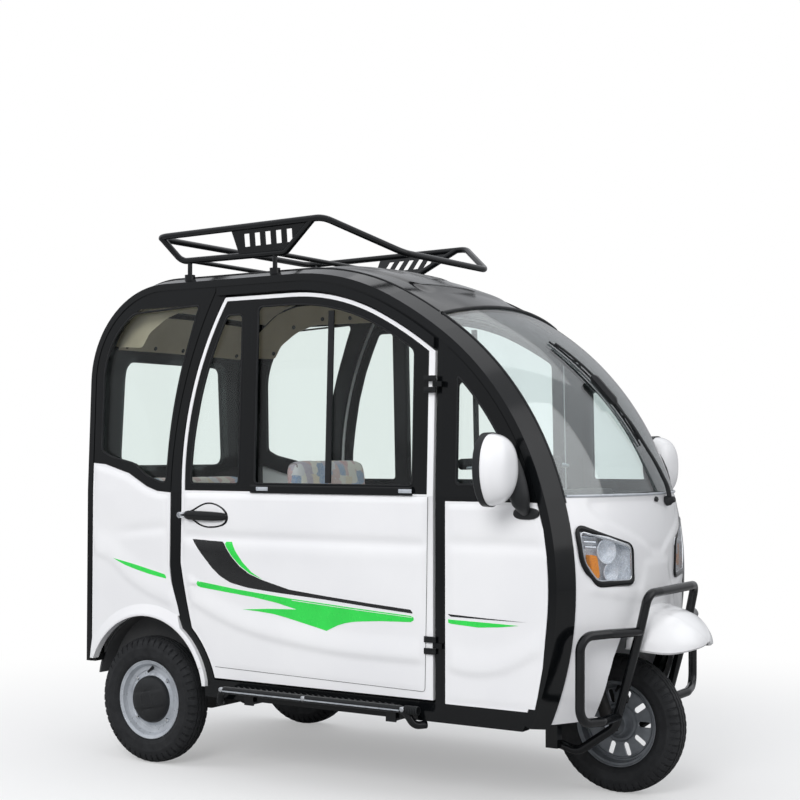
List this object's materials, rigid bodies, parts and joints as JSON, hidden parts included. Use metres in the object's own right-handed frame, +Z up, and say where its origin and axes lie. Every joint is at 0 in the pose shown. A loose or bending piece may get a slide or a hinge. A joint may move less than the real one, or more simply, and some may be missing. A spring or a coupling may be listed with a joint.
{
  "type": "enclosed electric tricycle",
  "caption": "Enclosed electric tricycle with hinged side doors, raked front fork, bench seats, roof basket rack and tube guard; its wheels spin and the fork steers.",
  "frame": {"origin": "on the ground midway between the front and rear axles, on the middle plane", "axes": "+X forward, +Y to the vehicle's left, +Z up"},
  "size_m": [2.159, 1.364, 1.8305],
  "materials": {
    "white_paint": "gloss",
    "black_paint": "gloss",
    "black_frame": "satin",
    "clear_glass": "polished",
    "lamp_lens": "polished",
    "red_lens": "polished",
    "lamp_chrome": "polished",
    "rubber_tyre": "matte",
    "silver_steel": "satin",
    "grey_steel": "satin",
    "black_plastic": "matte",
    "beige_lining": "matte",
    "seat_fabric": "woven",
    "grey_liner": "matte",
    "white_plastic": "gloss",
    "mirror_face": "polished",
    "spring_steel": "satin",
    "battery_case": "matte"
  },
  "bodies": {
    "body": {"chassis_frame": "black_frame", "floor_pan": "grey_liner", "side_frame_right": "black_paint", "side_frame_left": "black_paint", "rear_quarter_panels": "white_paint", "front_quarter_panels": "white_paint", "rear_window_surrounds": "black_paint", "front_window_surrounds": "black_paint", "quarter_glass": "clear_glass", "roof_panel": "black_paint", "headliner": "beige_lining", "rear_panel": "white_paint", "rear_window_frame": "black_paint", "rear_glass": "clear_glass", "tail_lamps": "red_lens", "rear_bumper": "black_frame", "front_cowl": "white_paint", "windscreen": "clear_glass", "headlamp_housings": "lamp_chrome", "headlamp_lenses": "lamp_lens", "front_mudguard": "white_plastic", "front_guard": "black_frame", "roof_rack": "black_frame", "side_steps": "black_frame", "mirrors": "white_plastic", "mirror_glass": "mirror_face", "wiper": "black_plastic", "dashboard": "black_plastic", "driver_seat": "seat_fabric", "driver_seat_base": "grey_liner", "rear_bench": "seat_fabric", "rear_bench_base": "grey_liner", "battery_pack": "battery_case", "rear_axle": "black_frame", "leaf_springs": "spring_steel"},
    "door_right": {"door_panel_right": "white_paint", "door_window_frame_right": "black_paint", "door_glass_right": "clear_glass", "door_handle_right": "black_plastic"},
    "door_left": {"door_panel_left": "white_paint", "door_window_frame_left": "black_paint", "door_glass_left": "clear_glass", "door_handle_left": "black_plastic"},
    "steering": {"front_fork": "black_frame", "handlebar": "black_frame"},
    "wheel_front": {"front_tyre": "rubber_tyre", "front_wheel": "grey_steel"},
    "wheel_rear_right": {"rear_tyre_right": "rubber_tyre", "rear_wheel_right": "silver_steel"},
    "wheel_rear_left": {"rear_tyre_left": "rubber_tyre", "rear_wheel_left": "silver_steel"}
  },
  "joints": [
    {"name": "door_right_hinge", "type": "hinge", "parent": "body", "child": "door_right", "pos_m": [0.385, -0.488, 0.9], "axis": [0, 0, 1], "range_deg": [0, 70]},
    {"name": "door_left_hinge", "type": "hinge", "parent": "body", "child": "door_left", "pos_m": [0.385, 0.488, 0.9], "axis": [0, 0, -1], "range_deg": [0, 70]},
    {"name": "steering_turn", "type": "hinge", "parent": "body", "child": "steering", "pos_m": [0.75503, 0, 0.20919], "axis": [-0.342, 0, 0.9397], "range_deg": [-35, 35]},
    {"name": "front_wheel_spin", "type": "hinge", "parent": "steering", "child": "wheel_front", "pos_m": [0.771, 0, 0.215], "axis": [0, 1, 0], "continuous": true},
    {"name": "rear_right_wheel_spin", "type": "hinge", "parent": "body", "child": "wheel_rear_right", "pos_m": [-0.771, -0.44, 0.215], "axis": [0, 1, 0], "continuous": true},
    {"name": "rear_left_wheel_spin", "type": "hinge", "parent": "body", "child": "wheel_rear_left", "pos_m": [-0.771, 0.44, 0.215], "axis": [0, 1, 0], "continuous": true}
  ]
}
